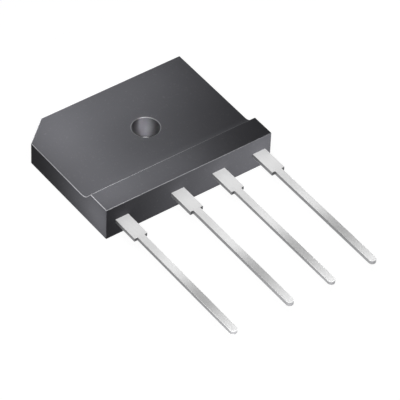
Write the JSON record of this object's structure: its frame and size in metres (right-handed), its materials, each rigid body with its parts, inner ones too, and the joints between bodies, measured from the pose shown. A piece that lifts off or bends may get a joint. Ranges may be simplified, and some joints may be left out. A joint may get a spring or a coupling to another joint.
{
  "type": "bridge rectifier",
  "caption": "Flat single in-line bridge rectifier: black moulded case with a cut corner, a screw hole and a raised bar, and straight tinned leads out of one side.",
  "frame": {"origin": "centre of the mounting hole on the flat back face", "axes": "+Z out of the face with the raised bar, along the mounting hole; -Y the way the leads point; +X along the row of leads from the positive lead, beside the cut corner, to the negative lead"},
  "size_m": [0.03, 0.0515, 0.0058],
  "materials": {
    "moulding_compound": "matt black moulded epoxy",
    "tinned_copper": "satin tin plate on copper strip",
    "bare_copper": "bare stamped copper",
    "silicon": "smooth silicon",
    "solder": "dull solder"
  },
  "bodies": {
    "root": {"moulded_case": "moulding_compound", "terminal_positive": "tinned_copper", "terminal_ac1": "tinned_copper", "terminal_ac2": "tinned_copper", "terminal_negative": "tinned_copper", "diode_ac1_positive": "silicon", "diode_ac2_positive": "silicon", "diode_ac1_negative": "silicon", "diode_ac2_negative": "silicon", "clip_ac1": "bare_copper", "clip_ac2": "bare_copper", "clip_negative": "bare_copper", "solder_under_diode_ac1_positive": "solder", "solder_under_diode_ac2_positive": "solder", "solder_under_diode_ac1_negative": "solder", "solder_under_diode_ac2_negative": "solder", "solder_over_diode_ac1_positive": "solder", "solder_over_diode_ac2_positive": "solder", "solder_over_diode_ac1_negative": "solder", "solder_over_diode_ac2_negative": "solder", "solder_foot_clip_ac1": "solder", "solder_foot_clip_ac2": "solder", "solder_foot_clip_negative": "solder"}
  },
  "joints": []
}
